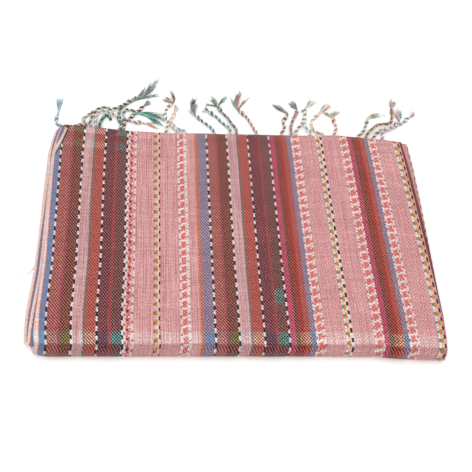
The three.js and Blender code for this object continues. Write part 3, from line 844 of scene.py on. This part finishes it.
def addTube(bm, points, widths, sides, yarn):
    # a closed tube along the points; its map holds the place along it and the place round it
    yarnMap = bm.loops.layers.uv.verify()
    rings, reach, across = [], [0], Vector((0.3, 0.2, 1))
    for i, point in enumerate(points):
        ahead = (points[min(i + 1, len(points) - 1)] - points[max(i - 1, 0)]).normalized()
        across = (across - ahead * across.dot(ahead)).normalized()
        up = ahead.cross(across)
        reach.append(reach[-1] + (point - points[max(i - 1, 0)]).length)
        corners = [2 * math.pi * k / sides for k in range(sides)]
        rings.append([bm.verts.new((point + (across * math.cos(a) + up * math.sin(a)) * widths[i]) * mm)
                      for a in corners])
    slot = list(cordYarns).index(yarn)
    for i, (ring, after) in enumerate(zip(rings, rings[1:])):
        for k in range(sides):
            face = bm.faces.new((ring[k], ring[(k + 1) % sides], after[(k + 1) % sides], after[k]))
            places = ((i, k), (i, k + 1), (i + 1, k + 1), (i + 1, k))
            for loop, (row, turn) in zip(face.loops, places):
                loop[yarnMap].uv = (reach[row + 1] / fringe["mapLength"], turn / sides)
            face.material_index = slot
            face.smooth = True
    for ring in (rings[0][::-1], rings[-1]):
        bm.faces.new(ring).material_index = slot


def twistStrands(bm, route, yarnNames, circle, widths, turns):
    # strands that wind round the route, at a distance and with turns given for each point
    for number, yarn in enumerate(yarnNames):
        points = []
        for i, middle in enumerate(route):
            ahead = route[min(i + 1, len(route) - 1)] - route[max(i - 1, 0)]
            side = Vector((-ahead.y, ahead.x, 0)).normalized()
            up = ahead.cross(side).normalized()
            if up.z < 0:
                up = -up
            angle = 2 * math.pi * (turns[i] + number / len(yarnNames))
            points.append(middle + (side * math.cos(angle) + up * math.sin(angle)) * circle[i])
        addTube(bm, points, widths, 6, yarn)


def addCord(bm, s, row, dice):
    hem, hemX, strands, route, rise, endYarns, ends = row
    level = 1 if hem == "lower" else 2
    root = settle(hemX, hemLine + s["hemRows"][1], pairHeight(level))
    reachUp = s["strand"] + s["twist"] + s["floorGap"]
    middles, length = smoothRoute([root] + [Vector((x, y, reachUp)) for x, y in route], s["step"])
    circle, widths, turns = [], [], [dice.random()]
    hasKnot = len(ends) > 2
    for i, middle in enumerate(middles):
        place = length * i / (len(middles) - 1)
        knot = math.exp(-((length - place - s["knotBack"]) / s["knotLength"]) ** 2) if hasKnot else 0
        circle.append(s["twist"] * (1 + knot * s["knotBulge"]) * smoothStep(-4, 5, place))
        widths.append(s["strand"] * (1 + 0.25 * knot + 0.06 * math.sin(place * 1.7 + hemX)))
        pitch = mix(s["pitch"], s["knotPitch"], knot)
        turns.append(turns[-1] + s["step"] / pitch)
        down = smoothStep(2, s["lowering"], place)
        over = rise * math.sin(math.pi * min(1, place / length * 1.05)) ** 2
        rest = circle[-1] + widths[-1] + s["floorGap"]
        middle.z = mix(max(root.z, rest), rest, down) + over * down
        middle.x += s["waver"] * math.sin(place / 3.1 + hemX) * down
    twistStrands(bm, middles, strands, circle, widths, turns)
    for number in range(s["cordHairs"]):
        i = dice.randrange(6, len(middles) - 2)
        away = Vector((dice.uniform(-1, 1), dice.uniform(-1, 1), dice.uniform(-0.2, 0.5))).normalized()
        tip = middles[i] + away * dice.uniform(*s["hairReach"])
        middle = middles[i].lerp(tip, 0.55) + Vector((away.y, -away.x, 0)) * dice.uniform(-1, 1)
        hair = [middles[i].copy(), middle, tip]
        for point in hair:
            point.z = max(point.z, s["hair"] + s["floorGap"])
        addTube(bm, hair, [s["hair"], s["hair"] * 0.9, s["hair"] * 0.5], 3, strands[number % len(strands)])
    if ends:
        addFrayedEnd(bm, s, middles, endYarns, ends, dice)


def addFrayedEnd(bm, s, middles, endYarns, ends, dice):
    start = middles[-1]
    heading = (middles[-1] - middles[-4]).normalized()
    count = s["yarns"] * (2 if len(ends) > 4 else 1) if len(ends) > 2 else s["fewYarns"]
    for number in range(count + s["hairs"]):
        isHair = number >= count
        end = ends[number % len(ends)]
        spread = 0.28 if isHair else 0.12
        target = Vector((end[0], end[1], 0.6 + 1.6 * dice.random()))
        reach = (target - start).length
        target += Vector((dice.gauss(0, spread), dice.gauss(0, spread), 0)) * reach * 0.5
        target = start.lerp(target, dice.uniform(0.62, 1.0 if not isHair else 1.12))
        begin = start + Vector((dice.gauss(0, 0.6), dice.gauss(0, 0.6), dice.gauss(0, 0.5)))
        bend = start + heading * reach * 0.35
        wave, waves = dice.uniform(0.4, 1.3), dice.uniform(1.5, 3.5)
        phase = dice.uniform(0, 6)
        side = Vector((-(target - begin).y, (target - begin).x, 0)).normalized()
        points, widths = [], []
        width = s["hair"] if isHair else s["yarn"] * dice.uniform(0.8, 1.35)
        for i in range(s["yarnPoints"]):
            u = i / (s["yarnPoints"] - 1)
            point = begin.lerp(bend, u).lerp(bend.lerp(target, u), u)
            point += side * wave * math.sin(waves * math.pi * u + phase) * u
            point.z = max(point.z, width + s["floorGap"])
            points.append(point)
            widths.append(width * (1 - 0.55 * u ** 3))
        addTube(bm, points, widths, 4, endYarns[number % len(endYarns)])


def addHem(bm, s, hem):
    # two twined rows hold the roots of the cords along the end of the cloth
    level = 1 if hem == "lower" else 2
    left, right = edgesAt(level, hemLine)[0:2]
    for behind in s["hemRows"]:
        count = round((right - left) / s["hemStep"])
        route = [settle(mix(left + 2, right - 1, i / count), hemLine + behind, pairHeight(level))
                 for i in range(count + 1)]
        turns = [i * s["hemStep"] / 6 for i in range(count + 1)]
        twistStrands(bm, route, ("cream", "grey"), [0.55] * len(route), [0.6] * len(route), turns)


# one thin thread that has come out at the left, on the floor
looseThread = {
    "yarn": "tan",
    "width": 0.2,
    "height": 0.3,
    "step": 1.5,
    "route": ((-212, -27), (-217.5, -33), (-221, -39.5), (-227, -41.5), (-233.5, -46.5), (-237.5, -49.5)),
}


def addLooseThread(bm, s):
    route = smoothRoute([Vector((x, y, s["height"])) for x, y in s["route"]], s["step"])[0]
    addTube(bm, route, [s["width"]] * len(route), 5, s["yarn"])


def makeFibreMaterial(name, colour):
    nodes = Nodes("yarn_" + name)
    place = nodes.add("ShaderNodeTexCoord").outputs["Object"]
    scaled = nodes.add("ShaderNodeVectorMath", operation="SCALE")
    nodes.join(place, scaled.inputs[0])
    scaled.inputs["Scale"].default_value = 1 / mm
    inMm = scaled.outputs[0]
    mottle = nodes.noise(inMm, 0.7, 1.0)
    fuzz = nodes.noise(inMm, 2.3, 3.0, 0.7)
    # plies that run round the yarn at a slant
    split = nodes.add("ShaderNodeSeparateXYZ")
    nodes.join(nodes.add("ShaderNodeUVMap", uv_map="yarnMap").outputs[0], split.inputs[0])
    ply = nodes.math("MULTIPLY_ADD", split.outputs[0], fringe["mapLength"] / 1.9,
                     nodes.math("MULTIPLY", split.outputs[1], 2))
    ply = nodes.math("SINE", nodes.math("MULTIPLY", ply, 2 * math.pi))
    ply = nodes.math("MULTIPLY_ADD", nodes.math("SUBTRACT", fuzz, 0.5), 3.0, ply)
    # the yarn is darker along the grooves between its plies: painted shade
    tone = nodes.math("MULTIPLY", nodes.ramped(fuzz, 0.25, 0.75, 0.84, 1.1),
                      nodes.ramped(ply, -1.2, 0.6, 0.72, 1.06))
    pale = nodes.ramped(mottle, 0.57, 0.62)
    deep = nodes.ramped(mottle, 0.36, 0.41, 1.0, 0.0)
    flecked = nodes.blend(nodes.math("MULTIPLY", pale, 0.75), linear(colour), linear(cordYarns["cream"]))
    flecked = nodes.blend(nodes.math("MULTIPLY", deep, 0.6), flecked, linear(cordYarns["dark"]))
    toned = nodes.blend(1.0, flecked, nodes.vector(tone, tone, tone), "MULTIPLY")
    nodes.join(toned, nodes.shader.inputs["Base Color"])
    nodes.shader.inputs["Roughness"].default_value = 0.9
    nodes.shader.inputs["Specular IOR Level"].default_value = 0.2
    nodes.shader.inputs["Sheen Weight"].default_value = 0.25
    bump = nodes.add("ShaderNodeBump")
    bump.inputs["Strength"].default_value = 0.5
    bump.inputs["Distance"].default_value = 0.3 * mm
    nodes.join(nodes.math("MULTIPLY_ADD", ply, 0.5, fuzz), bump.inputs["Height"])
    nodes.join(bump.outputs[0], nodes.shader.inputs["Normal"])
    return nodes.material


def makeFringe(s, hem, materials):
    dice = random.Random(s["seed"] + (hem == "upper"))
    bm = bmesh.new()
    bm.loops.layers.uv.new("yarnMap")
    addHem(bm, s, hem)
    for row in fringeCords:
        if row[0] == hem:
            addCord(bm, s, row, dice)
    if hem == "lower":
        addLooseThread(bm, looseThread)
    piece = meshObject(hem + "_fringe_cords", bm)
    for material in materials:
        piece.data.materials.append(material)
    return piece


fibreMaterials = [makeFibreMaterial(name, colour) for name, colour in cordYarns.items()]
for hem in ("lower", "upper"):
    piece = makeFringe(fringe, hem, fibreMaterials)
    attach(piece, "root")
    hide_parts("fringe_" + hem)
    print(piece.name, "made,", len(piece.data.polygons), "faces")
